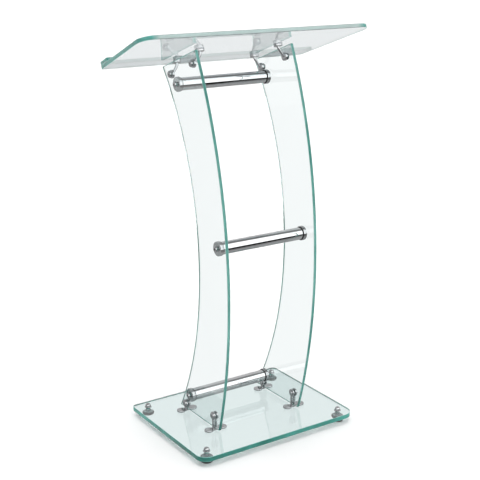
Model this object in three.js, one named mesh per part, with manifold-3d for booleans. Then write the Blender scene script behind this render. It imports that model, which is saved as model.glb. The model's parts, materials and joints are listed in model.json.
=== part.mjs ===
// Presentation lectern: two bowed glass side panels stand on a glass base, carry a sloping glass
// reading plate with a book ledge, and are tied together by three chromed tubes.
// Millimetres. +Z is up, X runs along the long side, -Y faces the audience, +Y the speaker.
// The origin is on the floor, under the middle of the base.
import * as THREE from "three";
import Module from "manifold-3d";

const wasm = await Module();
wasm.setup();

// ---- driving dimensions -------------------------------------------------------------------
const GAP = 0.3; // clearance between neighbours
const GLASS = 10; // thickness of the side panels
const EDGE = 1; // polished bevel on glass edges

// Footprint, thickness, front and rear corner radii, height of the underside.
const BASE = { w: 570, d: 438, t: 15, rFront: 36, rRear: 14, under: 18 };
const BASE_TOP = BASE.under + BASE.t;

const PANEL_X = 148.5; // middle plane of each side panel, at the base
const LEAN = 0.015; // outward lean of the panels and all that is fixed to them, per unit of height
const PANEL_LIFT = { base: 6.6, plate: 9.5 }; // clear height under and over a panel
// Outline of a side panel: each long edge is an arc through three points (y, height over base).
const FRONT_ARC = [[-98.4, 0], [-165, 550], [-43, 1100]];
const REAR_ARC = [[131.8, 0], [-8.5, 550], [177, 1100]];

// Width at the high front edge and at the low rear edge, depth down the slope, thickness, centre
// of the underside, tilt in degrees, corner radii.
const PLATE = {
  wFront: 784, wRear: 716, d: 335, t: 12, y: 34.5, z: 1175.8, tilt: 19, rFront: 38, rRear: 8,
};
const LEDGE = { d: 60, t: 10, r: 3 };

const TUBE = { r: 19, wall: 1.5 };
const CAP = { r: 22, len: 11, spigotR: 17.1, spigot: 14, bore: 4.3 };
const SEAL = { r: 20.8, bore: 17.4, t: 1.6 };
const SCREW = { headR: 8.5, head: 4, shankR: 4, len: 32 };
const PANEL_HOLE = 4.4; // clearance hole for a crossbar screw
const CROSSBARS = [
  { name: "top", y: 96, z: BASE_TOP + 1042.3 },
  { name: "waist", y: -108, z: BASE_TOP + 589 },
  { name: "bottom", y: 76.5, z: BASE_TOP + 55.8 },
];

const BOLT = { headR: 10.5, head: 4, shankR: 3, hole: 3.3 }; // through bolt of a bracket
const LUG = { r: 12.5, t: 5, neck: 12 }; // round ear that bears on the glass
const FOOTING = { r: 14, t: 5.6, x: 24, bridge: 16 }; // bracket foot on the base
const BASE_BRACKETS = [
  { name: "front", y: -75, h: 48 },
  { name: "rear", y: 93, h: 24 },
];
const TOP_FLANGE = { r: 14, t: 4, inset: 24, back: 8, neckR: 6, neck: 12, armR: 5, drop: 40 };
const TOP_LUG = { t: 7, bore: 5.4 }; // thicker ear with a blind threaded bore
const TOP_BRACKETS = [
  { name: "front", y: 2 },
  { name: "rear", y: 126 },
];

const FEET = { x: 246, y: 180, r: 19, t: 8, stroke: 6 };
const STUD = { discR: 15.5, disc: 3, hex: 13, r: 4, top: 40 };
const CAP_NUT = { r: 8.5, h: 13, flangeR: 11, flange: 1.6, bodyR: 6, bore: 4.3, boreTop: 42 };
const STUD_HOLE = 6.3; // hole in the base for the cap nut's body

// ---- materials ----------------------------------------------------------------------------
const glassFace = new THREE.MeshStandardMaterial({ color: 0xd6ece8, roughness: 0.05, metalness: 0 });
const chrome = new THREE.MeshStandardMaterial({ color: 0xc9cccd, roughness: 0.12, metalness: 1 });
const rubber = new THREE.MeshStandardMaterial({ color: 0x15181a, roughness: 0.6, metalness: 0 });

// ---- solids -------------------------------------------------------------------------------
const rad = (deg) => (deg * Math.PI) / 180;
const V = (x, y, z) => new THREE.Vector3(x, y, z);

// Basis matrix from three axes and an origin.
function frame(xa, ya, za, o = V(0, 0, 0)) {
  return new THREE.Matrix4().makeBasis(xa, ya, za).setPosition(o);
}
const ALONG_X = frame(V(0, 1, 0), V(0, 0, 1), V(1, 0, 0)); // sketch (y, z), depth along X

function toSolid(geometry) {
  const flat = geometry.index ? geometry.toNonIndexed() : geometry;
  const pos = flat.getAttribute("position").array;
  const mesh = new wasm.Mesh({
    numProp: 3,
    vertProperties: new Float32Array(pos),
    triVerts: Uint32Array.from({ length: pos.length / 3 }, (_, i) => i),
  });
  mesh.merge();
  return new wasm.Manifold(mesh);
}

function toGeometry(solid) {
  const m = solid.getMesh();
  const g = new THREE.BufferGeometry();
  g.setAttribute("position", new THREE.BufferAttribute(m.vertProperties, 3));
  g.setIndex(new THREE.BufferAttribute(m.triVerts, 1));
  return g;
}

function union(geometries) {
  return toGeometry(geometries.map(toSolid).reduce((a, b) => a.add(b)));
}

function cut(geometry, tools) {
  return toGeometry(tools.map(toSolid).reduce((a, b) => a.subtract(b), toSolid(geometry)));
}

// Turned piece: profile of (radius, height), closed or from axis to axis, stood along an axis.
function turned(profile, segments, matrix) {
  const g = new THREE.LatheGeometry(profile.map(([r, h]) => new THREE.Vector2(r, h)), segments);
  g.rotateX(Math.PI / 2); // lathe axis Y becomes Z
  return matrix ? g.applyMatrix4(matrix) : g;
}

// Stands a piece drawn along +Z on point o, pointing along direction d.
function standing(o, d) {
  const q = new THREE.Quaternion().setFromUnitVectors(V(0, 0, 1), d.clone().normalize());
  return new THREE.Matrix4().makeRotationFromQuaternion(q).setPosition(o);
}

function rod(a, b, r, segments) {
  const d = b.clone().sub(a);
  const L = d.length();
  return turned([[0, 0], [r, 0], [r, L], [0, L]], segments, standing(a, d));
}

// Symmetric four-sided outline with rounded corners: half widths at the front (-y) and rear (+y).
function outline(front, rear, d, rFront, rRear) {
  const y = d / 2;
  const slant = Math.atan2(front - rear, d); // each end leans in towards the rear
  const half = Math.PI / 2;
  // Centre of a corner circle, set in from both of its edges.
  const fx = front - rFront * (1 + Math.sin(slant)) / Math.cos(slant);
  const rx = rear - rRear * (1 - Math.sin(slant)) / Math.cos(slant);
  const s = new THREE.Shape();
  s.moveTo(-fx, -y).lineTo(fx, -y);
  s.absarc(fx, -y + rFront, rFront, -half, slant, false);
  s.absarc(rx, y - rRear, rRear, slant, half, false);
  s.absarc(-rx, y - rRear, rRear, half, Math.PI - slant, false);
  s.absarc(-fx, -y + rFront, rFront, Math.PI - slant, 3 * half, false);
  return s;
}

// Glass sheet of a given thickness whose outline already allows for the bevel.
function sheet(shape, thickness, curveSegments = 6) {
  return new THREE.ExtrudeGeometry(shape, {
    depth: thickness - 2 * EDGE,
    bevelThickness: EDGE,
    bevelSize: EDGE,
    bevelSegments: 1,
    curveSegments,
  }).translate(0, 0, EDGE);
}

// ---- side panels --------------------------------------------------------------------------
const SLOPE = Math.tan(rad(PLATE.tilt));
const plateUnder = (y) => PLATE.z - (y - PLATE.y) * SLOPE; // height of the plate's underside

function circleThrough([[y1, z1], [y2, z2], [y3, z3]]) {
  const a = 2 * (y2 - y1), b = 2 * (z2 - z1), c = 2 * (y3 - y1), d = 2 * (z3 - z1);
  const e = y2 ** 2 - y1 ** 2 + z2 ** 2 - z1 ** 2;
  const f = y3 ** 2 - y1 ** 2 + z3 ** 2 - z1 ** 2;
  const det = a * d - b * c;
  const yc = (e * d - b * f) / det;
  const zc = (a * f - e * c) / det;
  return { yc, zc, r: Math.hypot(y1 - yc, z1 - zc) };
}

// The arc bows towards the audience, so it is the -y side of its circle.
const arcY = (c, h) => c.yc - Math.sqrt(c.r ** 2 - (h - c.zc) ** 2);

function panelShape() {
  const n = 26;
  const front = circleThrough(FRONT_ARC);
  const rear = circleThrough(REAR_ARC);
  const low = PANEL_LIFT.base + EDGE;
  const lift = (PANEL_LIFT.plate + EDGE) / Math.cos(rad(PLATE.tilt));
  const edgeLine = (y) => plateUnder(y) - BASE_TOP - lift;
  const meet = (c, inset) => {
    let h = 1090;
    for (let i = 0; i < 40; i++) h = edgeLine(arcY(c, h) + inset);
    return h;
  };
  const points = [];
  const run = (c, inset, from, to) => {
    for (let i = 0; i <= n; i++) {
      const h = from + ((to - from) * i) / n;
      points.push(new THREE.Vector2(arcY(c, h) + inset, BASE_TOP + h));
    }
  };
  run(rear, -EDGE, low, meet(rear, -EDGE));
  run(front, EDGE, meet(front, EDGE), low);
  return new THREE.Shape(points);
}

const lugHeight = (b) => BASE_TOP + b.h;
const topLug = (b) => ({ y: b.y, z: plateUnder(b.y) - TOP_FLANGE.drop / Math.cos(rad(PLATE.tilt)) });

function sidePanel(x) {
  const blank = sheet(panelShape(), GLASS).applyMatrix4(ALONG_X).translate(x - GLASS / 2, 0, 0);
  const hole = (y, z, r) => rod(V(x - GLASS, y, z), V(x + GLASS, y, z), r, 12);
  const holes = [
    ...CROSSBARS.map((c) => hole(c.y, c.z, PANEL_HOLE)),
    ...BASE_BRACKETS.map((b) => hole(b.y, lugHeight(b), BOLT.hole)),
    ...TOP_BRACKETS.map((b) => hole(topLug(b).y, topLug(b).z, BOLT.hole)),
  ];
  return cut(blank, holes);
}

// ---- base, reading plate and ledge --------------------------------------------------------
function basePlate() {
  const half = BASE.w / 2 - EDGE;
  const shape = outline(half, half, BASE.d - 2 * EDGE, BASE.rFront - EDGE, BASE.rRear - EDGE);
  const blank = sheet(shape, BASE.t).translate(0, 0, BASE.under);
  const holes = [];
  for (const sx of [-1, 1])
    for (const sy of [-1, 1]) {
      const x = sx * FEET.x, y = sy * FEET.y;
      holes.push(rod(V(x, y, BASE.under - 5), V(x, y, BASE_TOP + 5), STUD_HOLE, 16));
    }
  return cut(blank, holes);
}

// Frame of the reading plate: x along X, y down the slope, z out of its upper face.
const T = rad(PLATE.tilt);
const PLATE_FRAME = frame(
  V(1, 0, 0), V(0, Math.cos(T), -Math.sin(T)), V(0, Math.sin(T), Math.cos(T)),
  V(0, PLATE.y, PLATE.z),
);

// Half width of the plate at a distance y down the slope from its middle.
const plateHalf = (y) =>
  (PLATE.wFront + PLATE.wRear) / 4 - ((PLATE.wFront - PLATE.wRear) / 2) * (y / PLATE.d);

// The rear strip of the upper face is ground 0.3 mm lower, as a bed for the ledge.
function readingPlate() {
  const y = PLATE.d / 2 - EDGE;
  const shape = outline(
    plateHalf(-y) - EDGE, plateHalf(y) - EDGE, 2 * y, PLATE.rFront - EDGE, PLATE.rRear - EDGE,
  );
  const bed = new THREE.BoxGeometry(PLATE.wFront, LEDGE.d + 10, 10);
  bed.translate(0, PLATE.d / 2 - LEDGE.d - GAP + (LEDGE.d + 10) / 2, PLATE.t - GAP + 5);
  return cut(sheet(shape, PLATE.t), [bed]).applyMatrix4(PLATE_FRAME);
}

function bookLedge() {
  const rear = PLATE.d / 2 - EDGE;
  const front = PLATE.d / 2 - LEDGE.d + EDGE;
  const shape = outline(
    plateHalf(front) - EDGE, plateHalf(rear) - EDGE, rear - front, LEDGE.r, PLATE.rRear - EDGE,
  );
  return sheet(shape, LEDGE.t, 4)
    .translate(0, (rear + front) / 2, PLATE.t)
    .applyMatrix4(PLATE_FRAME);
}

// ---- crossbars ----------------------------------------------------------------------------
const INNER = PANEL_X - GLASS / 2; // inner face of a side panel
const OUTER = PANEL_X + GLASS / 2;
const CAP_FACE = INNER - GAP; // end cap bears here
const SEAL_FACE = CAP_FACE - CAP.len - GAP;
const TUBE_END = SEAL_FACE - SEAL.t - 2 * GAP;
const leanAt = (z) => LEAN * (z - BASE_TOP); // how far the panels have moved out at height z

// Along +X from point x on a crossbar's axis; side -1 mirrors it to the left.
const onBar = (c, side, x) => standing(V(side * x, c.y, c.z), V(side, 0, 0));

function tube(c) {
  const end = TUBE_END + leanAt(c.z), r = TUBE.r, b = TUBE.r - TUBE.wall;
  const L = 2 * end;
  const ring = [[b, 0], [r - 0.5, 0], [r, 0.5], [r, L - 0.5], [r - 0.5, L], [b, L], [b, 0]];
  return turned(ring, 32, standing(V(-end, c.y, c.z), V(1, 0, 0)));
}

function sealRing(c, side) {
  const { r, bore, t } = SEAL;
  const ring = [[bore, 0], [r, 0], [r, t], [bore, t], [bore, 0]];
  return turned(ring, 24, onBar(c, side, SEAL_FACE - t));
}

function endCap(c, side) {
  const back = -SEAL.t - GAP - CAP.spigot;
  const profile = [
    [CAP.bore, back], [CAP.spigotR, back], [CAP.spigotR, 0], [CAP.r - 1.2, 0], [CAP.r, 1.2],
    [CAP.r, CAP.len - 1.5], [CAP.r - 1.5, CAP.len], [CAP.bore, CAP.len], [CAP.bore, back],
  ];
  return turned(profile, 24, onBar(c, side, CAP_FACE - CAP.len));
}

function capScrew(c, side) {
  const { headR, head, shankR, len } = SCREW;
  const profile = [
    [0, -len], [shankR, -len], [shankR, 0], [headR, 0], [headR, head - 1.4],
    [headR - 1.4, head], [0, head],
  ];
  return turned(profile, 14, onBar(c, side, OUTER + GAP));
}

// ---- brackets -----------------------------------------------------------------------------
// Round ear on a neck, standing from height z0 up to its centre, on one face of the panel.
function ear(xIn, dir, y, z0, z) {
  const disc = rod(V(xIn, y, z), V(xIn + dir * LUG.t, y, z), LUG.r, 18);
  const neck = new THREE.BoxGeometry(LUG.t, LUG.neck, z - z0);
  neck.translate(xIn + (dir * LUG.t) / 2, y, (z + z0) / 2);
  return [disc, neck];
}

function boreBolt(geometry, x, y, z) {
  return cut(geometry, [rod(V(x - 30, y, z), V(x + 30, y, z), BOLT.hole, 12)]);
}

// Saddle under a panel's lower edge: two round feet, a bridge and an ear on each face.
function baseBracket(side, b) {
  const x = side * PANEL_X;
  const z0 = BASE_TOP + GAP;
  const z1 = z0 + FOOTING.t;
  const bridge = new THREE.BoxGeometry(2 * FOOTING.x, FOOTING.bridge, FOOTING.t);
  bridge.translate(x, b.y, (z0 + z1) / 2);
  const parts = [bridge];
  for (const dir of [-1, 1]) {
    const fx = x + dir * FOOTING.x;
    const foot = [
      [0, 0], [FOOTING.r, 0], [FOOTING.r, FOOTING.t - 1.2], [FOOTING.r - 1.2, FOOTING.t],
      [0, FOOTING.t],
    ];
    parts.push(turned(foot, 18, new THREE.Matrix4().makeTranslation(fx, b.y, z0)));
    parts.push(...ear(x + dir * (GLASS / 2 + GAP), dir, b.y, z0 + 1, lugHeight(b)));
  }
  return boreBolt(union(parts), x, b.y, lugHeight(b));
}

// Arm from a round flange under the reading plate down to an ear on the panel's inner face.
function topBracket(side, b) {
  const { y, z } = topLug(b);
  const f = TOP_FLANGE;
  const up = V(0, Math.sin(T), Math.cos(T));
  const fy = y + f.back;
  const seat = V(side * (INNER - f.inset), fy, plateUnder(fy)).addScaledVector(up, -GAP - f.t);
  const elbow = seat.clone().addScaledVector(up, -f.neck);
  const face = side * (INNER - GAP);
  const lug = rod(V(face, y, z), V(face - side * TOP_LUG.t, y, z), LUG.r, 18);
  const flange = [[0, 0], [f.r - 1, 0], [f.r, 1], [f.r, f.t], [0, f.t]];
  const ball = new THREE.SphereGeometry(f.neckR, 12, 8).translate(elbow.x, elbow.y, elbow.z);
  const parts = [
    lug,
    turned(flange, 18, standing(seat, up)),
    rod(elbow, seat.clone().addScaledVector(up, 1), f.neckR, 12),
    ball,
    rod(elbow, V(face - side * (TOP_LUG.t - 1), y, z), f.armR, 10),
  ];
  return cut(union(parts), [
    rod(V(face + side, y, z), V(face - side * TOP_LUG.bore, y, z), BOLT.hole, 12),
  ]);
}

// Bolt through a panel, head outside; with a nut it ends past the inner ear, else inside it.
function panelBolt(side, y, z, outer, inner, nut) {
  const { headR, head, shankR } = BOLT;
  const L = outer + inner;
  const tip = nut ? [[headR - 3, L], [headR - 3, L + 2], [headR - 5, L + head], [0, L + head]] : [[0, L]];
  const profile = [
    [0, -head], [headR - 2, -head], [headR, -head + 2], [headR, 0], [shankR, 0], [shankR, L],
    ...tip,
  ];
  return turned(profile, 14, standing(V(side * (PANEL_X + outer), y, z), V(-side, 0, 0)));
}

// ---- feet ---------------------------------------------------------------------------------
const at = (x, y, z) => new THREE.Matrix4().makeTranslation(x, y, z);

function footPad(x, y) {
  const { r, t } = FEET;
  const profile = [[0, 0], [r - 2.5, 0], [r - 1, 1], [r, t - 3], [r - 1, t], [0, t]];
  return turned(profile, 24, at(x, y, 0));
}

function footStud(x, y) {
  const z0 = FEET.t + GAP;
  const z1 = z0 + STUD.disc;
  const z2 = BASE.under - 2 * GAP;
  const disc = [[0, 0], [STUD.discR, 0], [STUD.discR, 1], [11, STUD.disc], [0, STUD.disc]];
  const hex = turned([[0, 0], [STUD.hex / 2 / Math.cos(Math.PI / 6), 0],
    [STUD.hex / 2 / Math.cos(Math.PI / 6), z2 - z1 + 1], [0, z2 - z1 + 1]], 6, at(x, y, z1 - 1));
  return union([
    turned(disc, 18, at(x, y, z0)),
    hex,
    rod(V(x, y, z0 + 1), V(x, y, STUD.top), STUD.r, 12),
  ]);
}

// Domed nut over the base with a threaded body down through the glass.
function capNut(x, y) {
  const n = CAP_NUT;
  const dome = [];
  for (let i = 0; i <= 3; i++) {
    const a = (i / 3) * (Math.PI / 2);
    dome.push([n.r * Math.cos(a), n.h - n.r * 0.8 + n.r * 0.8 * Math.sin(a)]);
  }
  const low = BASE.under - BASE_TOP + GAP;
  const top = n.boreTop - BASE_TOP;
  const profile = [
    [n.bore, low], [n.bodyR, low], [n.bodyR, GAP], [n.flangeR, GAP],
    [n.flangeR, n.flange - 0.4], [n.r, n.flange], ...dome.slice(0, -1), [0, n.h],
  ];
  return turned([[0, top], [n.bore, top], ...profile], 16, at(x, y, BASE_TOP));
}

// ---- assembly -----------------------------------------------------------------------------
const lectern = new THREE.Group();
lectern.name = "presentation_lectern";

function add(name, geometry, material) {
  const mesh = new THREE.Mesh(geometry, material);
  mesh.name = name;
  lectern.add(mesh);
}

// A piece fixed to a side panel leans out with it.
function addLeaning(name, geometry, material, side) {
  const pos = geometry.getAttribute("position");
  for (let i = 0; i < pos.count; i++) pos.setX(i, pos.getX(i) + side * leanAt(pos.getZ(i)));
  add(name, geometry, material);
}

add("base_plate", basePlate(), glassFace);
add("reading_plate", readingPlate(), glassFace);
add("book_ledge", bookLedge(), glassFace);

for (const c of CROSSBARS) add(`${c.name}_crossbar_tube`, tube(c), chrome);

for (const [hand, side] of [["left", -1], ["right", 1]]) {
  addLeaning(`${hand}_side_panel`, sidePanel(side * PANEL_X), glassFace, side);
  for (const c of CROSSBARS) {
    addLeaning(`${c.name}_${hand}_end_cap`, endCap(c, side), chrome, side);
    addLeaning(`${c.name}_${hand}_seal_ring`, sealRing(c, side), rubber, side);
    addLeaning(`${c.name}_${hand}_cap_screw`, capScrew(c, side), chrome, side);
  }
  const reach = GLASS / 2 + 2 * GAP;
  for (const b of BASE_BRACKETS) {
    addLeaning(`base_${b.name}_${hand}_bracket`, baseBracket(side, b), chrome, side);
    const bolt = panelBolt(side, b.y, lugHeight(b), reach + LUG.t, reach + LUG.t, true);
    addLeaning(`base_${b.name}_${hand}_bolt`, bolt, chrome, side);
  }
  for (const b of TOP_BRACKETS) {
    const { y, z } = topLug(b);
    addLeaning(`top_${b.name}_${hand}_bracket`, topBracket(side, b), chrome, side);
    const bolt = panelBolt(side, y, z, reach - GAP, reach + 4.5, false);
    addLeaning(`top_${b.name}_${hand}_bolt`, bolt, chrome, side);
  }
  for (const [end, sy] of [["front", -1], ["rear", 1]]) {
    const x = side * FEET.x, y = sy * FEET.y;
    add(`${end}_${hand}_foot_pad`, footPad(x, y), rubber);
    add(`${end}_${hand}_foot_stud`, footStud(x, y), chrome);
    add(`${end}_${hand}_cap_nut`, capNut(x, y), chrome);
  }
}

export default lectern;
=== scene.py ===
"""Glass presentation lectern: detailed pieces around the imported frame. Metres, +Z up."""
import json
import math

import bmesh
import bpy
from mathutils import Matrix, Vector


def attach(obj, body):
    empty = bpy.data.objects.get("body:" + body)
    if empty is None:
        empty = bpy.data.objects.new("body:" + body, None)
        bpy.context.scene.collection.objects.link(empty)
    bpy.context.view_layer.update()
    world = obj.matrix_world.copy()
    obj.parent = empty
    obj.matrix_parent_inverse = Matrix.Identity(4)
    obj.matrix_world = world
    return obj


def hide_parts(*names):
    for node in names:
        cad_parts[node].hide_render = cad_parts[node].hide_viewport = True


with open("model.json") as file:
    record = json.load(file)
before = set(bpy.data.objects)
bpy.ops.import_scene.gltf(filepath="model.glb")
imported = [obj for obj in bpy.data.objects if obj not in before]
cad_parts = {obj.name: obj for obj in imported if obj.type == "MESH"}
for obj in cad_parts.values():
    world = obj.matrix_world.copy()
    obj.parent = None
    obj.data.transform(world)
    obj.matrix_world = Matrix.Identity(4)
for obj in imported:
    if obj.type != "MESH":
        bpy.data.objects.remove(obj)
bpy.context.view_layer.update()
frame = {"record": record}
BODY_OF = {n: b for b, ns in frame["record"]["behaviour"]["bodies"].items() for n in ns}
SLOT_OF = {s["node"]: s["material_slot"] for s in frame["record"]["subparts"]}

MM = 0.001
GAP = 0.3 * MM
TAU = 2 * math.pi

# ---- dimensions ---------------------------------------------------------------------------
# As in the CAD, apart from the plate's widths: 0.1 mm less keeps fine edges inside the CAD box.
GLASS_T = 10 * MM
BASE_W, BASE_D, BASE_T = 570 * MM, 438 * MM, 15 * MM
BASE_UNDER = 18 * MM
BASE_TOP = BASE_UNDER + BASE_T
PANEL_X, LEAN = 148.5 * MM, 0.015
# three points of each curved edge of a side panel: y, height over the base, in mm
FRONT_ARC = [(-98.4, 0), (-165, 550), (-43, 1100)]
REAR_ARC = [(131.8, 0), (-8.5, 550), (177, 1100)]
PANEL_LOW = 6.6 * MM  # lower edge over the base
PANEL_CLEAR = 9.5 * MM  # upper edge to the plate's underside, square to it
PLATE_FRONT_W, PLATE_REAR_W = 783.9 * MM, 715.9 * MM
PLATE_D, PLATE_T = 335 * MM, 12 * MM
PLATE_Y, PLATE_Z, TILT = 34.5 * MM, 1175.8 * MM, math.radians(19)
LEDGE_D, LEDGE_T = 60 * MM, 10 * MM
BARS = {"top": (96, 1042.3), "waist": (-108, 589), "bottom": (76.5, 55.8)}  # y, height in mm
BASE_BRACKETS = {"front": (-75, 48), "rear": (93, 24)}  # y, height of the bolt in mm
TOP_BRACKETS = {"front": 2, "rear": 126}  # y in mm
BRACKET_DROP = 40 * MM  # bolt below the plate's underside, square to it
SCREW_BORE, BOLT_BORE, STUD_BORE = 4.4 * MM, 3.3 * MM, 6.3 * MM  # radii of drilled holes
FOOT_X, FOOT_Y = 246 * MM, 180 * MM
INNER = PANEL_X - GLASS_T / 2
OUTER = PANEL_X + GLASS_T / 2
HANDS = {"left": -1, "right": 1}
ENDS = {"front": -1, "rear": 1}


# ---- materials ----------------------------------------------------------------------------
def new_material(name):
    m = bpy.data.materials.new(name)
    m.use_nodes = True
    nt = m.node_tree
    return m, nt, nt.nodes["Principled BSDF"], nt.nodes["Material Output"]


def coords(nt, scale=(1, 1, 1)):
    tc = nt.nodes.new("ShaderNodeTexCoord")
    mp = nt.nodes.new("ShaderNodeMapping")
    mp.inputs["Scale"].default_value = scale
    nt.links.new(tc.outputs["Object"], mp.inputs["Vector"])
    return mp.outputs["Vector"]


def noise(nt, vector, scale, detail=4.0, rough=0.5):
    n = nt.nodes.new("ShaderNodeTexNoise")
    n.inputs["Scale"].default_value = scale
    n.inputs["Detail"].default_value = detail
    n.inputs["Roughness"].default_value = rough
    nt.links.new(vector, n.inputs["Vector"])
    return n.outputs["Fac"]


def remap(nt, fac, low, high, to_low, to_high):
    r = nt.nodes.new("ShaderNodeMapRange")
    r.inputs["From Min"].default_value = low
    r.inputs["From Max"].default_value = high
    r.inputs["To Min"].default_value = to_low
    r.inputs["To Max"].default_value = to_high
    nt.links.new(fac, r.inputs["Value"])
    return r.outputs["Result"]


def ramp(nt, fac, stops):
    r = nt.nodes.new("ShaderNodeValToRGB")
    el = r.color_ramp.elements
    el[0].position, el[1].position = stops[0][0], stops[-1][0]
    el[0].color, el[1].color = (*stops[0][1], 1), (*stops[-1][1], 1)
    for pos, colour in stops[1:-1]:
        el.new(pos).color = (*colour, 1)
    nt.links.new(fac, r.inputs["Fac"])
    return r.outputs["Color"]


def maths(nt, operation, a, b=0):
    node = nt.nodes.new("ShaderNodeMath")
    node.operation = operation
    for socket, value in zip(node.inputs, (a, b)):
        if isinstance(value, (int, float)):
            socket.default_value = value
        else:
            nt.links.new(value, socket)
    return node.outputs[0]


def axes(nt, vector):
    xyz = nt.nodes.new("ShaderNodeSeparateXYZ")
    nt.links.new(vector, xyz.inputs["Vector"])
    return xyz.outputs


def texture_axes(nt, kind):
    return axes(nt, nt.nodes.new("ShaderNodeTexCoord").outputs[kind])


MIX_A, MIX_B, MIX_RESULT = 6, 7, 2  # the colour sockets of the Mix node


def towards(nt, colour, other, share):
    """Colour socket mixed towards one plain colour, by a share socket."""
    mix = nt.nodes.new("ShaderNodeMix")
    mix.data_type = "RGBA"
    mix.inputs[MIX_B].default_value = (*other, 1)
    nt.links.new(share, mix.inputs["Factor"])
    nt.links.new(colour, mix.inputs[MIX_A])
    return mix.outputs[MIX_RESULT]


def bump(nt, height, strength, distance):
    b = nt.nodes.new("ShaderNodeBump")
    b.inputs["Strength"].default_value = strength
    b.inputs["Distance"].default_value = distance
    nt.links.new(height, b.inputs["Height"])
    return b.outputs["Normal"]


def glass_material(name, transmission):
    """Polished glass that is green in its depth."""
    m, nt, bsdf, out = new_material(name)
    bsdf.inputs["Roughness"].default_value = 0.0
    bsdf.inputs["Transmission Weight"].default_value = transmission
    bsdf.inputs["IOR"].default_value = 1.5
    vol = nt.nodes.new("ShaderNodeVolumeAbsorption")
    vol.inputs["Color"].default_value = (0.30, 0.86, 0.80, 1)
    vol.inputs["Density"].default_value = 3.0
    nt.links.new(vol.outputs["Volume"], out.inputs["Volume"])
    return m, nt, bsdf


def glass_face(name, tint):
    """Clear float glass: a faint waviness in its face and an uneven tint."""
    m, nt, bsdf = glass_material(name, 1.0)
    v = coords(nt)
    marks = noise(nt, v, 9.0, 5.0, 0.6)
    nt.links.new(bump(nt, noise(nt, v, 3.0, 2.0, 0.5), 0.05, 0.0005), bsdf.inputs["Normal"])
    nt.links.new(ramp(nt, marks, [(0.3, tint), (0.8, tuple(0.985 * c for c in tint))]),
                 bsdf.inputs["Base Color"])
    return m


def glass_edge(name, dark, light, middle=None):
    """Polished edge, where the light that has run along the sheet comes out green. The reading
    plate's long edges look up at the sky; between their ends they take a painted reflection in the
    last colour given, pale sky on the edges and dark on the arrises."""
    m, nt, bsdf = glass_material(name, 0.4)
    v = coords(nt)
    tint = ramp(nt, noise(nt, v, 5.0, 3.0, 0.55), [(0.36, dark), (0.66, light)])
    # painted reflection: the last colour is mixed in where |x| lies between the ends of the plate's
    # long edges
    if middle:
        painted_reflection_x = maths(nt, "ABSOLUTE", axes(nt, v)["X"])
        tint = towards(nt, tint, middle, remap(nt, painted_reflection_x, 0.36, 0.335, 0, 1))
    nt.links.new(tint, bsdf.inputs["Base Color"])
    nt.links.new(bump(nt, noise(nt, v, 260.0, 2.0, 0.5), 0.15, 0.0002), bsdf.inputs["Normal"])
    return m


def chrome(name, low, high, rough, lines=(1, 1, 1)):
    """Bright plating with fine polishing marks and a slight cloudiness."""
    m, nt, bsdf, _ = new_material(name)
    v = coords(nt)
    cloud = noise(nt, v, 30.0, 4.0, 0.6)
    fine = noise(nt, coords(nt, lines), 420.0, 2.0, 0.5)
    nt.links.new(ramp(nt, cloud, [(0.3, low), (0.7, high)]), bsdf.inputs["Base Color"])
    nt.links.new(remap(nt, cloud, 0.3, 0.7, rough, rough * 1.9), bsdf.inputs["Roughness"])
    nt.links.new(bump(nt, fine, 0.03, 0.0001), bsdf.inputs["Normal"])
    bsdf.inputs["Metallic"].default_value = 1.0
    return m


def rubber(name):
    m, nt, bsdf, _ = new_material(name)
    v = coords(nt)
    grain = noise(nt, v, 900.0, 3.0, 0.6)
    dust = noise(nt, v, 60.0, 4.0, 0.6)
    nt.links.new(ramp(nt, dust, [(0.35, (0.006, 0.006, 0.007)), (0.75, (0.03, 0.031, 0.033))]),
                 bsdf.inputs["Base Color"])
    nt.links.new(remap(nt, dust, 0.3, 0.7, 0.32, 0.5), bsdf.inputs["Roughness"])
    nt.links.new(bump(nt, grain, 0.25, 0.0002), bsdf.inputs["Normal"])
    return m


FACES = {
    "glass_base": glass_face("glass_base", (0.79, 0.865, 0.865)),
    "glass_plate": glass_face("glass_plate", (0.92, 0.945, 0.965)),
    "glass_panel": glass_face("glass_panel", (0.975, 0.998, 1.0)),
}
EDGES = {
    "glass_base": glass_edge("glass_base_edge", (0.006, 0.26, 0.20), (0.09, 0.60, 0.50)),
    # the plate's edges: green, with a pale painted reflection of the sky in the middle of its long
    # edges
    "glass_plate": glass_edge("glass_plate_edge_painted_sky", (0.03, 0.30, 0.25), (0.14, 0.55, 0.48),
                              (0.72, 0.88, 0.86)),
    "glass_panel": glass_edge("glass_panel_edge", (0.05, 0.36, 0.30), (0.24, 0.66, 0.58)),
}
# arrises: a pale aqua painted highlight along every rounded glass edge
ARRIS_PAINTED_HIGHLIGHT = glass_edge("glass_arris_painted_highlight", (0.35, 0.85, 0.78), (0.62, 0.97, 0.92))
# the plate's arrises: a pale painted highlight towards the ends and a near-black painted reflection
# between the ends of its long edges
PLATE_ARRIS_PAINTED_LIGHT = glass_edge("glass_plate_arris_painted_light", (0.3, 0.8, 0.72), (0.5, 0.9, 0.85),
                         (0.06, 0.10, 0.10))


def glass(slot):
    """Materials of a sheet's broad faces, edges and arrises; the arrises carry a painted highlight,
    and on the plate also a painted dark reflection.
    """
    return [FACES[slot], EDGES[slot], PLATE_ARRIS_PAINTED_LIGHT if slot == "glass_plate" else ARRIS_PAINTED_HIGHLIGHT]


METALS = {
    "chrome_tube": chrome("chrome_tube", (0.60, 0.61, 0.62), (0.68, 0.69, 0.70), 0.035,
                          (1, 10, 10)),
    "chrome_fittings": chrome("chrome_fittings", (0.40, 0.41, 0.42), (0.56, 0.57, 0.58), 0.045),
    "steel_stud": chrome("steel_stud", (0.42, 0.43, 0.44), (0.60, 0.61, 0.61), 0.16),
    "black_rubber": rubber("black_rubber"),
}


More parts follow.
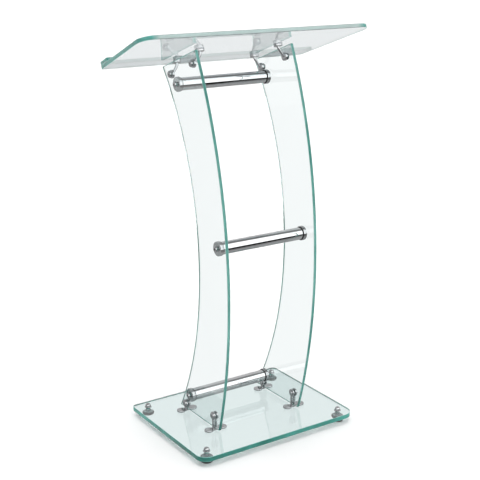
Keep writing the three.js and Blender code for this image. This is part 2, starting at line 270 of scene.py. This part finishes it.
# ---- mesh tools ---------------------------------------------------------------------------
def mm(*rings):
    """Profile rings from millimetres to metres."""
    return [(r * MM, h * MM, *rest) for r, h, *rest in rings]


def mesh_of(parts):
    """One mesh from several (vertices, faces) shells."""
    verts, faces = [], []
    for vs, fs in parts:
        n = len(verts)
        verts += [tuple(v) for v in vs]
        faces += [[i + n for i in f] for f in fs]
    me = bpy.data.meshes.new("piece")
    me.from_pydata(verts, [], faces)
    bm = bmesh.new()
    bm.from_mesh(me)
    bmesh.ops.recalc_face_normals(bm, faces=bm.faces)
    bm.to_mesh(me)
    bm.free()
    return me


def lean(me, side):
    """Splays a piece with its side panel."""
    for v in me.vertices:
        v.co.x += side * LEAN * (v.co.z - BASE_TOP)


def place(node, me, materials, side=0):
    """Makes the finished piece that stands for a CAD node, on the same body."""
    if side:
        lean(me, side)
    piece = bpy.data.objects.new(node + "_fine", me)
    bpy.context.collection.objects.link(piece)
    for m in materials:
        me.materials.append(m)
    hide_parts(node)
    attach(piece, BODY_OF[node])
    return piece


def metal(node, parts, side=0, degrees=32):
    me = mesh_of(parts)
    me.shade_smooth()
    me.set_sharp_from_angle(angle=math.radians(degrees))
    return place(node, me, [METALS[SLOT_OF[node]]], side)


def standing(origin, direction):
    """Frame at origin whose Z points in that direction."""
    q = Vector(direction).to_track_quat("Z", "Y")
    return Matrix.Translation(Vector(origin)) @ q.to_matrix().to_4x4()


def hexagon(angle, across):
    """Radius of a hexagon of that width across its flats, in one direction."""
    return across / 2 / math.cos((angle + math.pi / 6) % (math.pi / 3) - math.pi / 6)


def turned(profile, matrix, n=48):
    """Turned shell from (radius, height) rings; a third item, 'hex', makes that ring a hexagon
    with radius as its half width across flats. It closes on its axis or on itself."""
    verts, rings = [], []
    for ring in profile:
        r, h = ring[0], ring[1]
        if not r:  # a point on the axis
            rings.append([len(verts)])
            verts.append(matrix @ Vector((0, 0, h)))
            continue
        six = len(ring) > 2
        ids = []
        for i in range(n):
            a = TAU * i / n
            rr = hexagon(a, 2 * r) if six else r
            ids.append(len(verts))
            verts.append(matrix @ Vector((rr * math.cos(a), rr * math.sin(a), h)))
        rings.append(ids)
    faces = []
    loop = len(rings[0]) > 1 and len(rings[-1]) > 1
    pairs = list(zip(rings, rings[1:])) + ([(rings[-1], rings[0])] if loop else [])
    for a, b in pairs:
        for i in range(n):
            j = (i + 1) % n
            if len(a) == 1:
                faces.append([a[0], b[i], b[j]])
            elif len(b) == 1:
                faces.append([a[i], a[j], b[0]])
            else:
                faces.append([a[i], a[j], b[j], b[i]])
    return verts, faces


def rolled(r, soft, height, angles):
    """Profile of a rim whose two edges are rounded by soft."""
    rim = [(r - soft + soft * math.sin(a), soft - soft * math.cos(a)) for a in angles]
    return rim + [(q, height - s) for q, s in reversed(rim)]


def rod_faces(rings, n):
    """Faces of a rod made of rings of n points, closed at both ends."""
    faces = []
    for k in range(rings - 1):
        for i in range(n):
            j = (i + 1) % n
            faces.append([k * n + i, k * n + j, (k + 1) * n + j, (k + 1) * n + i])
    return faces + [list(range(n)), list(range((rings - 1) * n, rings * n))]


def threaded(z0, z1, radius, pitch, matrix, n=32, per_pitch=8):
    """Rod with a true helical thread, closed at both ends."""
    rows = max(2, int((z1 - z0) / pitch * per_pitch))
    verts = []
    for k in range(rows + 1):
        z = z0 + (z1 - z0) * k / rows
        run = min(1.0, (z - z0) / pitch, (z1 - z) / pitch)  # the thread fades at its ends
        for i in range(n):
            a = TAU * i / n
            phase = (z / pitch - i / n) % 1.0
            depth = 0.6 * pitch * (abs(2 * phase - 1) * run + (1 - run))
            r = radius - depth
            verts.append(matrix @ Vector((r * math.cos(a), r * math.sin(a), z)))
    return verts, rod_faces(rows + 1, n)


def sweep(points, radii, n=20):
    """Round bar along a path, closed at both ends."""
    pts = [Vector(p) for p in points]
    verts = []
    side = None
    for k, p in enumerate(pts):
        d = (pts[min(k + 1, len(pts) - 1)] - pts[max(k - 1, 0)]).normalized()
        side = (d.orthogonal() if side is None else side - d * side.dot(d)).normalized()
        up = d.cross(side)
        for i in range(n):
            a = TAU * i / n
            verts.append(p + (side * math.cos(a) + up * math.sin(a)) * radii[k])
    return verts, rod_faces(len(pts), n)


def slab(size, centre, bevel):
    """Box with rounded edges."""
    bm = bmesh.new()
    bmesh.ops.create_cube(bm, size=1)
    bmesh.ops.scale(bm, vec=size, verts=bm.verts)
    bmesh.ops.bevel(bm, geom=bm.edges[:], offset=bevel, segments=2, profile=0.5, affect="EDGES")
    bmesh.ops.translate(bm, vec=centre, verts=bm.verts)
    out = [v.co.copy() for v in bm.verts], [[v.index for v in f.verts] for f in bm.faces]
    bm.free()
    return out


# ---- glass --------------------------------------------------------------------------------
def inset(points, d):
    """Closed outline moved inwards by d, mitred at its corners. Points run anticlockwise."""
    out = []
    n = len(points)
    for i in range(n):
        p, a, b = (Vector(points[k % n]) for k in (i, i - 1, i + 1))  # this, last and next point
        u, w = (p - a).normalized(), (b - p).normalized()
        nu, nw = Vector((-u.y, u.x)), Vector((-w.y, w.x))
        m = (nu + nw).normalized()
        out.append(p + m * (d / max(0.3, m.dot(nu))))
    return out


def circle(x, y, r, n=32):
    return [(x + r * math.cos(TAU * i / n), y + r * math.sin(TAU * i / n)) for i in range(n)]


def sheet_mesh(outline, holes, thickness, arris, matrix):
    """Glass sheet with a small rounded arris on every edge and drilled holes. It is filled as a
    flat curve, then made a mesh. Broad faces take material 0, edges 1 and arrises 2."""
    cu = bpy.data.curves.new("outline", "CURVE")
    cu.dimensions, cu.fill_mode = "2D", "BOTH"
    cu.extrude = thickness / 2 - arris
    cu.bevel_depth, cu.bevel_resolution = arris, 2
    loops = [inset(outline, arris)] + [circle(x, y, r + arris) for x, y, r in holes]
    for loop in loops:
        sp = cu.splines.new("POLY")
        sp.points.add(len(loop) - 1)
        for q, p in zip(sp.points, loop):
            q.co = (p[0], p[1], 0, 1)
        sp.use_cyclic_u = True
    tmp = bpy.data.objects.new("outline", cu)
    bpy.context.collection.objects.link(tmp)
    deps = bpy.context.evaluated_depsgraph_get()
    me = bpy.data.meshes.new_from_object(tmp.evaluated_get(deps))
    bpy.data.objects.remove(tmp)
    bm = bmesh.new()
    bm.from_mesh(me)
    bmesh.ops.remove_doubles(bm, verts=bm.verts, dist=2e-6)
    bmesh.ops.recalc_face_normals(bm, faces=bm.faces)
    for f in bm.faces:
        upright = abs(f.normal.z)
        f.material_index = 0 if upright > 0.999 else 2 if upright > 0.2 else 1
        f.smooth = f.material_index > 0
    for e in bm.edges:
        broad = any(f.material_index == 0 for f in e.link_faces)
        e.smooth = not broad and e.calc_face_angle(0) < math.radians(35)
    lift = Matrix.Translation((0, 0, thickness / 2))
    bmesh.ops.transform(bm, matrix=matrix @ lift, verts=bm.verts)
    bm.to_mesh(me)
    bm.free()
    return me


def rounded(front, rear, depth, r_front, r_rear, steps=14):
    """Symmetric outline with rounded corners: half widths at the front (-y) and rear (+y)."""
    y = depth / 2
    slant = math.atan2(front - rear, depth)
    fx = front - r_front * (1 + math.sin(slant)) / math.cos(slant)
    rx = rear - r_rear * (1 - math.sin(slant)) / math.cos(slant)
    q = math.pi / 2
    corners = [
        (fx, -y + r_front, r_front, -q, slant), (rx, y - r_rear, r_rear, slant, q),
        (-rx, y - r_rear, r_rear, q, math.pi - slant),
        (-fx, -y + r_front, r_front, math.pi - slant, 3 * q),
    ]
    pts = []
    for cx, cy, r, a0, a1 in corners:
        for i in range(steps + 1):
            a = a0 + (a1 - a0) * i / steps
            pts.append((cx + r * math.cos(a), cy + r * math.sin(a)))
    return pts


def circle_through(points):
    """Centre and radius of the circle through three points."""
    (y1, z1), (y2, z2), (y3, z3) = points
    a, b, c, d = 2 * (y2 - y1), 2 * (z2 - z1), 2 * (y3 - y1), 2 * (z3 - z1)
    e = y2**2 - y1**2 + z2**2 - z1**2
    f = y3**2 - y1**2 + z3**2 - z1**2
    det = a * d - b * c
    yc, zc = (e * d - b * f) / det, (a * f - e * c) / det
    return yc, zc, math.hypot(y1 - yc, z1 - zc)


def plate_under(y):
    """Height of the reading plate's underside, in metres."""
    return PLATE_Z - (y - PLATE_Y) * math.tan(TILT)


def panel_outline():
    """Side panel between two arcs, from its rear foot up and down again at the front."""
    def arc_y(c, h):
        return (c[0] - math.sqrt(c[2] ** 2 - (h / MM - c[1]) ** 2)) * MM

    front, rear = circle_through(FRONT_ARC), circle_through(REAR_ARC)

    def meet(c):
        """Height at which an arc comes up to the plate."""
        h = 1.09
        for _ in range(40):
            h = plate_under(arc_y(c, h)) - BASE_TOP - PANEL_CLEAR / math.cos(TILT)
        return h

    n = 72
    pts = []
    for c, h0, h1 in ((rear, PANEL_LOW, meet(rear)), (front, meet(front), PANEL_LOW)):
        for i in range(n + 1):
            h = h0 + (h1 - h0) * i / n
            pts.append((arc_y(c, h), BASE_TOP + h))
    return pts


def lug_of(y):
    """Bolt centre of a top bracket."""
    return y, plate_under(y) - BRACKET_DROP / math.cos(TILT)


def side_panel(hand, side):
    holes = [(y * MM, BASE_TOP + h * MM, SCREW_BORE) for y, h in BARS.values()]
    holes += [(y * MM, BASE_TOP + h * MM, BOLT_BORE) for y, h in BASE_BRACKETS.values()]
    holes += [(*lug_of(y * MM), BOLT_BORE) for y in TOP_BRACKETS.values()]
    x = side * PANEL_X - GLASS_T / 2
    along_x = Matrix(((0, 0, 1, x), (1, 0, 0, 0), (0, 1, 0, 0), (0, 0, 0, 1)))
    me = sheet_mesh(panel_outline(), holes, GLASS_T, 0.8 * MM, along_x)
    place(hand + "_side_panel", me, glass("glass_panel"), side)


def base_plate():
    half = BASE_W / 2
    pts = rounded(half, half, BASE_D, 36 * MM, 14 * MM)
    holes = [(sx * FOOT_X, sy * FOOT_Y, STUD_BORE) for sx in HANDS.values() for sy in ENDS.values()]
    me = sheet_mesh(pts, holes, BASE_T, 1.0 * MM, Matrix.Translation((0, 0, BASE_UNDER)))
    place("base_plate", me, glass("glass_base"))


PLATE_FRAME = Matrix((
    (1, 0, 0, 0), (0, math.cos(TILT), math.sin(TILT), PLATE_Y),
    (0, -math.sin(TILT), math.cos(TILT), PLATE_Z), (0, 0, 0, 1),
))


def plate_half(y):
    """Half width of the plate, y along its slope from its middle."""
    return (PLATE_FRONT_W + PLATE_REAR_W) / 4 - (PLATE_FRONT_W - PLATE_REAR_W) / 2 * y / PLATE_D


def reading_plate():
    pts = rounded(PLATE_FRONT_W / 2, PLATE_REAR_W / 2, PLATE_D, 38 * MM, 8 * MM)
    me = sheet_mesh(pts, [], PLATE_T - GAP, 0.9 * MM, PLATE_FRAME)
    place("reading_plate", me, glass("glass_plate"))


def book_ledge():
    rear, front = PLATE_D / 2, PLATE_D / 2 - LEDGE_D
    pts = rounded(plate_half(front), plate_half(rear), rear - front, 3 * MM, 8 * MM, 8)
    m = PLATE_FRAME @ Matrix.Translation((0, (rear + front) / 2, PLATE_T))
    me = sheet_mesh(pts, [], LEDGE_T, 0.9 * MM, m)
    place("book_ledge", me, glass("glass_plate"))


# ---- crossbars ----------------------------------------------------------------------------
CAP_LEN, SEAL_T = 11 * MM, 1.6 * MM
CAP_FACE = INNER - GAP
SEAL_FACE = CAP_FACE - CAP_LEN - GAP
TUBE_END = SEAL_FACE - SEAL_T - 2 * GAP


def crossbar(name, y, h):
    y, z = y * MM, BASE_TOP + h * MM
    end = TUBE_END + LEAN * (z - BASE_TOP)
    bore, length = 17.5 * MM, 2 * end
    skin = rolled(19 * MM, 0.6 * MM, length, (0, 0.5, 1.05, 1.57))
    tube = [(bore, 0)] + skin + [(bore, length)]
    metal(f"{name}_crossbar_tube", [turned(tube, standing((-end, y, z), (1, 0, 0)), 96)])
    for hand, side in HANDS.items():
        def on_bar(x):
            return standing((side * x, y, z), (side, 0, 0))

        seal = mm((17.4, 0), (20.3, 0), (20.8, 0.4), (20.8, 1.2), (20.3, 1.6), (17.4, 1.6))
        metal(f"{name}_{hand}_seal_ring", [turned(seal, on_bar(SEAL_FACE - SEAL_T), 96)], side)
        cap = mm(
            (4.3, -15.9), (17.1, -15.9), (17.1, 0), (20.6, 0), (21.4, 0.3), (22, 1.0), (22, 3.4),
            (21.2, 3.9), (21.2, 4.7), (22, 5.2), (22, 9.3), (21.6, 10.3), (20.6, 10.9), (20.2, 11),
            (4.3, 11),
        )
        metal(f"{name}_{hand}_end_cap", [turned(cap, on_bar(CAP_FACE - CAP_LEN), 96)], side)
        head = mm(
            (0, -32), (3.4, -32), (4, -31.4), (4, 0), (8.2, 0), (8.5, 0.3), (8.5, 2.0), (8.1, 2.9),
            (7.2, 3.6), (5.9, 4), (2.95, 4, "hex"), (2.5, 3.6, "hex"), (2.5, 1.2, "hex"), (0, 0.8),
        )
        metal(f"{name}_{hand}_cap_screw", [turned(head, on_bar(OUTER + GAP), 48)], side)


# ---- brackets -----------------------------------------------------------------------------
LUG_R, LUG_T = 12.5 * MM, 5 * MM


def disc(r, t, bore, soft=1.2 * MM):
    """Profile of a round ear with rolled rims and a bolt hole."""
    return [(bore, 0)] + rolled(r, soft, t, (0, 0.4, 0.8, 1.2, 1.57)) + [(bore, t)]


def base_bracket(hand, side, end, y, h):
    y, z = y * MM, BASE_TOP + h * MM
    z0 = BASE_TOP + GAP
    t, spread, soft = 5.6 * MM, 24 * MM, 0.9 * MM
    x = side * PANEL_X
    parts = [slab((2 * spread, 16 * MM, t), (x, y, z0 + t / 2), soft)]
    for way in (-1, 1):
        footing = disc(14 * MM, t, 0, 1.5 * MM)
        parts.append(turned(footing, Matrix.Translation((x + way * spread, y, z0)), 56))
        face = x + way * (GLASS_T / 2 + GAP)
        ear = disc(LUG_R, LUG_T, BOLT_BORE)
        parts.append(turned(ear, standing((face, y, z), (way, 0, 0)), 56))
        post = (LUG_T, 8 * MM, z - z0 - 7 * MM)
        middle = (face + way * LUG_T / 2, y, (z + z0 - 7 * MM) / 2 + 0.5 * MM)
        parts.append(slab(post, middle, soft))
    metal(f"base_{end}_{hand}_bracket", parts, side)
    reach = GLASS_T / 2 + 2 * GAP + LUG_T
    panel_bolt(f"base_{end}_{hand}_bolt", side, y, z, reach, reach, True)


def panel_bolt(node, side, y, z, outer, inner, nut):
    """Button-head bolt, head outside, with a hex socket; the base bolts end in a domed nut."""
    length = (outer + inner) / MM
    rings = mm((0, -1.4), (1.9, -1.4, "hex"), (1.9, -3.4, "hex"), (2.4, -3.9, "hex"))
    rings += mm((5.2, -3.95), (7.4, -3.4), (9.2, -2.4), (10.2, -1.1), (10.5, -0.3), (10.2, 0))
    rings += mm((3, 0), (3, length))
    if nut:
        rings += mm((7.2, length), (7.5, length + 0.3), (7.5, length + 1.8), (6.9, length + 2.8),
                    (5.2, length + 3.6), (2.8, length + 3.95), (0, length + 4))
    else:
        rings += mm((0, length))
    m = standing((side * (PANEL_X + outer), y, z), (-side, 0, 0))
    metal(node, [turned(rings, m, 48)], side)


def top_bracket(hand, side, end, y):
    y, z = lug_of(y * MM)
    inboard, back, thick, neck, lug_t, hole = 24, 8, 4, 12, 7, 5.4  # mm
    up = Vector((0, math.sin(TILT), math.cos(TILT)))
    fy = y + back * MM
    seat = Vector((side * (INNER - inboard * MM), fy, plate_under(fy))) - up * (GAP + thick * MM)
    face = side * (INNER - GAP)
    # the lug's profile runs from the floor of its blind hole out to its far face
    lug = [(0, hole * MM), (BOLT_BORE, hole * MM), (BOLT_BORE, 0)]
    lug += disc(LUG_R, lug_t * MM, 0)[1:-1] + [(0, lug_t * MM)]
    flange = mm((0, -5), (12.2, -5), (13, -4.5), (13.4, -3.7), (13.4, 1), (14, 1.6), (14, 3.5),
                (13.6, thick), (0, thick))
    # the arm leaves the flange square to it and bends towards the lug
    elbow = seat - up * neck * MM
    lug_end = Vector((face - side * (lug_t - 1) * MM, y, z))
    a, b = seat - up * 7 * MM, elbow + (lug_end - elbow) * 0.35
    path, radii = [seat + up * MM, seat - up * 5 * MM], [5 * MM, 5 * MM]
    for i in range(9):
        s = i / 8
        path.append((1 - s) ** 2 * a + 2 * s * (1 - s) * elbow + s**2 * b)
        radii.append((5 - s) * MM)
    path.append(lug_end)
    radii.append(4 * MM)
    metal(f"top_{end}_{hand}_bracket", [
        turned(lug, standing((face, y, z), (-side, 0, 0)), 56),
        turned(flange, standing(seat, up), 64),
        sweep(path, radii, 28),
    ], side)
    reach = GLASS_T / 2 + 2 * GAP
    panel_bolt(f"top_{end}_{hand}_bolt", side, y, z, reach - GAP, reach + 4.5 * MM, False)


# ---- feet ---------------------------------------------------------------------------------
def foot(end, hand):
    x, y = HANDS[hand] * FOOT_X, ENDS[end] * FOOT_Y

    def at(z):
        return Matrix.Translation((x, y, z))

    pad = mm((0, 0), (15.6, 0), (16.4, 0.3), (17.4, 1.0), (18.1, 1.9), (17.7, 2.4), (18.3, 2.9),
             (18.6, 3.6), (18.9, 4.6), (19, 5.4), (18.8, 6.6), (18, 7.6), (17, 8), (15.8, 8),
             (15.4, 7.7), (0, 7.7))
    metal(f"{end}_{hand}_foot_pad", [turned(pad, at(0), 72)], degrees=50)
    low, top = 8.3, 17.4  # ends of the stud's disc and hexagon, in mm
    cup = mm((0, low), (15.5, low), (15.5, low + 0.8), (14.6, low + 1.6), (12.6, low + 2.2),
             (10.6, low + 2.6), (8.4, low + 3), (0, low + 3))
    key = mm((0, low + 2), (6.1, low + 2, "hex"), (6.5, low + 3, "hex"), (6.5, top - 0.6, "hex"),
             (6.0, top, "hex"), (0, top))
    metal(f"{end}_{hand}_foot_stud", [
        turned(cup, at(0), 64), turned(key, at(0), 48),
        threaded(low * MM + MM, 40 * MM, 4 * MM, 1.25 * MM, at(0)),
    ])
    sleeve = -14.7  # its lower end under the top of the base glass, in mm
    nut = mm((0, 9.0), (4.3, 9.0), (4.3, sleeve), (6, sleeve), (6, 0.3), (10.6, 0.3), (11, 0.6),
             (11, 1.3), (10.6, 1.7), (9, 2.0), (8.5, 2.4), (8.5, 6.4))
    dome = (0.2, 0.4, 0.6, 0.8, 1.0, 1.2, 1.4)
    nut += [(8.5 * MM * math.cos(a), 6.4 * MM + 6.6 * MM * math.sin(a)) for a in dome]
    nut += mm((0, 13.0))
    metal(f"{end}_{hand}_cap_nut", [turned(nut, at(BASE_TOP), 48)])


# ---- the studio ---------------------------------------------------------------------------
def emitter(name, verts, faces, shade):
    """Lit card or tent that only shows in reflections and through glass."""
    me = bpy.data.meshes.new(name)
    me.from_pydata(verts, [], faces)
    ob = bpy.data.objects.new(name, me)
    bpy.context.collection.objects.link(ob)
    m = bpy.data.materials.new(name)
    m.use_nodes = True
    nt = m.node_tree
    nt.nodes.remove(nt.nodes["Principled BSDF"])
    em = nt.nodes.new("ShaderNodeEmission")
    shade(nt, em)
    me.materials.append(m)
    for flag in ("visible_camera", "visible_diffuse", "visible_shadow", "visible_volume_scatter"):
        setattr(ob, flag, False)


def by_ray(nt, em, bands, plain, strength):
    """Chrome sees the bands, also through a sheet of glass; a sharp look into or off the glass
    sees one plain tone; light that falls on the floor passes straight through."""
    path = nt.nodes.new("ShaderNodeLightPath").outputs
    both = maths(nt, "MULTIPLY", path["Glossy Depth"], path["Transmission Depth"])
    none = maths(nt, "LESS_THAN", both, 0.5)
    sharp = maths(nt, "MULTIPLY", path["Is Singular Ray"], none)
    nt.links.new(towards(nt, bands, (plain, plain, plain), sharp), em.inputs["Color"])
    em.inputs["Strength"].default_value = strength
    clear = nt.nodes.new("ShaderNodeBsdfTransparent")
    shader = nt.nodes.new("ShaderNodeMixShader")
    share, lit, through = shader.inputs
    nt.links.new(maths(nt, "GREATER_THAN", path["Diffuse Depth"], 0.5), share)
    nt.links.new(em.outputs["Emission"], lit)
    nt.links.new(clear.outputs["BSDF"], through)
    nt.links.new(shader.outputs["Shader"], nt.nodes["Material Output"].inputs["Surface"])


def grey_ramp(nt, share, stops):
    """Ramp of greys from (position, brightness) stops."""
    return ramp(nt, share, [(p, (v, v, v)) for p, v in stops])


def tent():
    """Long half tunnel over the object: a dimmer skirting, a tall white panel in front, a dark
    roof and a grey rear wall, so that chrome shows bands."""
    n, r, length = 96, 6.0, 30.0
    verts = [(x, -r * math.cos(math.pi * i / n), r * math.sin(math.pi * i / n))
             for x in (-length, length) for i in range(n + 1)]
    faces = [[i, i + 1, n + 2 + i, n + 1 + i] for i in range(n)]

    def shade(nt, em):
        xyz = texture_axes(nt, "Object")
        angle = maths(nt, "ARCTAN2", xyz["Z"], maths(nt, "MULTIPLY", xyz["Y"], -1))
        share = remap(nt, angle, 0, math.pi, 0, 1)  # from the front horizon over to the rear one
        stops = [(0.0, 0.5), (0.012, 1.0), (0.36, 1.0), (0.41, 0.12), (0.56, 0.13), (0.62, 0.34),
                 (1.0, 0.34)]
        by_ray(nt, em, grey_ramp(nt, share, stops), 0.5, 2.0)

    emitter("studio_tent", verts, faces, shade)


def floor_card():
    """What chrome sees below the horizon: dark out in front, mid grey under the object and
    behind it."""
    x, y, z = 30.0, 6.0, 0.0005
    verts = [(-x, -y, z), (x, -y, z), (x, y, z), (-x, y, z)]

    def shade(nt, em):
        share = remap(nt, texture_axes(nt, "Object")["Y"], -y, y, 0, 1)
        stops = [(0.0, 0.01), (0.375, 0.015), (0.42, 0.15), (0.46, 0.42), (1.0, 0.42)]
        by_ray(nt, em, grey_ramp(nt, share, stops), 1.0, 1.0)

    emitter("floor_card", verts, [[0, 1, 2, 3]], shade)


def studio():
    scene = bpy.context.scene
    scene.view_settings.view_transform = "Standard"
    scene.cycles.max_bounces = 24
    scene.cycles.transmission_bounces = 24
    scene.cycles.transparent_max_bounces = 16
    world = bpy.data.worlds.new("studio")
    scene.world = world
    world.use_nodes = True
    nt = world.node_tree
    bg = nt.nodes["Background"]
    xyz = texture_axes(nt, "Generated")
    sky = [(0.0, 0.25), (0.28, 0.25), (0.4, 0.11), (0.87, 0.10), (0.92, 1.0), (1.0, 1.0)]
    nt.links.new(grey_ramp(nt, xyz["Z"], sky), bg.inputs["Color"])
    # the studio's left wall is darker
    nt.links.new(remap(nt, xyz["X"], -0.9, -0.3, 2.2, 4.45), bg.inputs["Strength"])
    me = bpy.data.meshes.new("floor")
    half = 60
    corners = [(-half, -half, 0), (half, -half, 0), (half, half, 0), (-half, half, 0)]
    me.from_pydata(corners, [], [[0, 1, 2, 3]])
    floor = bpy.data.objects.new("floor", me)
    bpy.context.collection.objects.link(floor)
    m, _, bsdf, _ = new_material("floor")
    bsdf.inputs["Base Color"].default_value = (0.92, 0.92, 0.92, 1)
    bsdf.inputs["Roughness"].default_value = 0.9
    bsdf.inputs["Specular IOR Level"].default_value = 0.0
    me.materials.append(m)
    tent()
    floor_card()


CAMERA_AT, CAMERA_LENS, CAMERA_SENSOR = (-1.6615, -2.5104, 1.4712), 76.72, 36
CAMERA_YAW, CAMERA_PITCH, CAMERA_ROLL = (math.radians(a) for a in (-33.39, 16.18, -0.19))


def camera():
    level = math.cos(CAMERA_PITCH)
    fwd = Vector((-math.sin(CAMERA_YAW) * level, math.cos(CAMERA_YAW) * level,
                  -math.sin(CAMERA_PITCH)))
    right = fwd.cross(Vector((0, 0, 1))).normalized()
    up = right.cross(fwd)
    cos, sin = math.cos(CAMERA_ROLL), math.sin(CAMERA_ROLL)
    data = bpy.data.cameras.new("camera")
    data.sensor_width = CAMERA_SENSOR
    data.lens = CAMERA_LENS
    data.clip_start, data.clip_end = 0.05, 200
    cam = bpy.data.objects.new("camera", data)
    bpy.context.collection.objects.link(cam)
    rolled_axes = (cos * right + sin * up, -sin * right + cos * up, -fwd)
    rot = Matrix(rolled_axes).transposed().to_4x4()
    cam.matrix_world = Matrix.Translation(CAMERA_AT) @ rot
    bpy.context.scene.camera = cam


base_plate()
reading_plate()
book_ledge()
for bar_name, (bar_y, bar_h) in BARS.items():
    crossbar(bar_name, bar_y, bar_h)
for hand, side in HANDS.items():
    side_panel(hand, side)
    for end, (b_y, b_h) in BASE_BRACKETS.items():
        base_bracket(hand, side, end, b_y, b_h)
    for end, t_y in TOP_BRACKETS.items():
        top_bracket(hand, side, end, t_y)
    for end in ENDS:
        foot(end, hand)
studio()
camera()
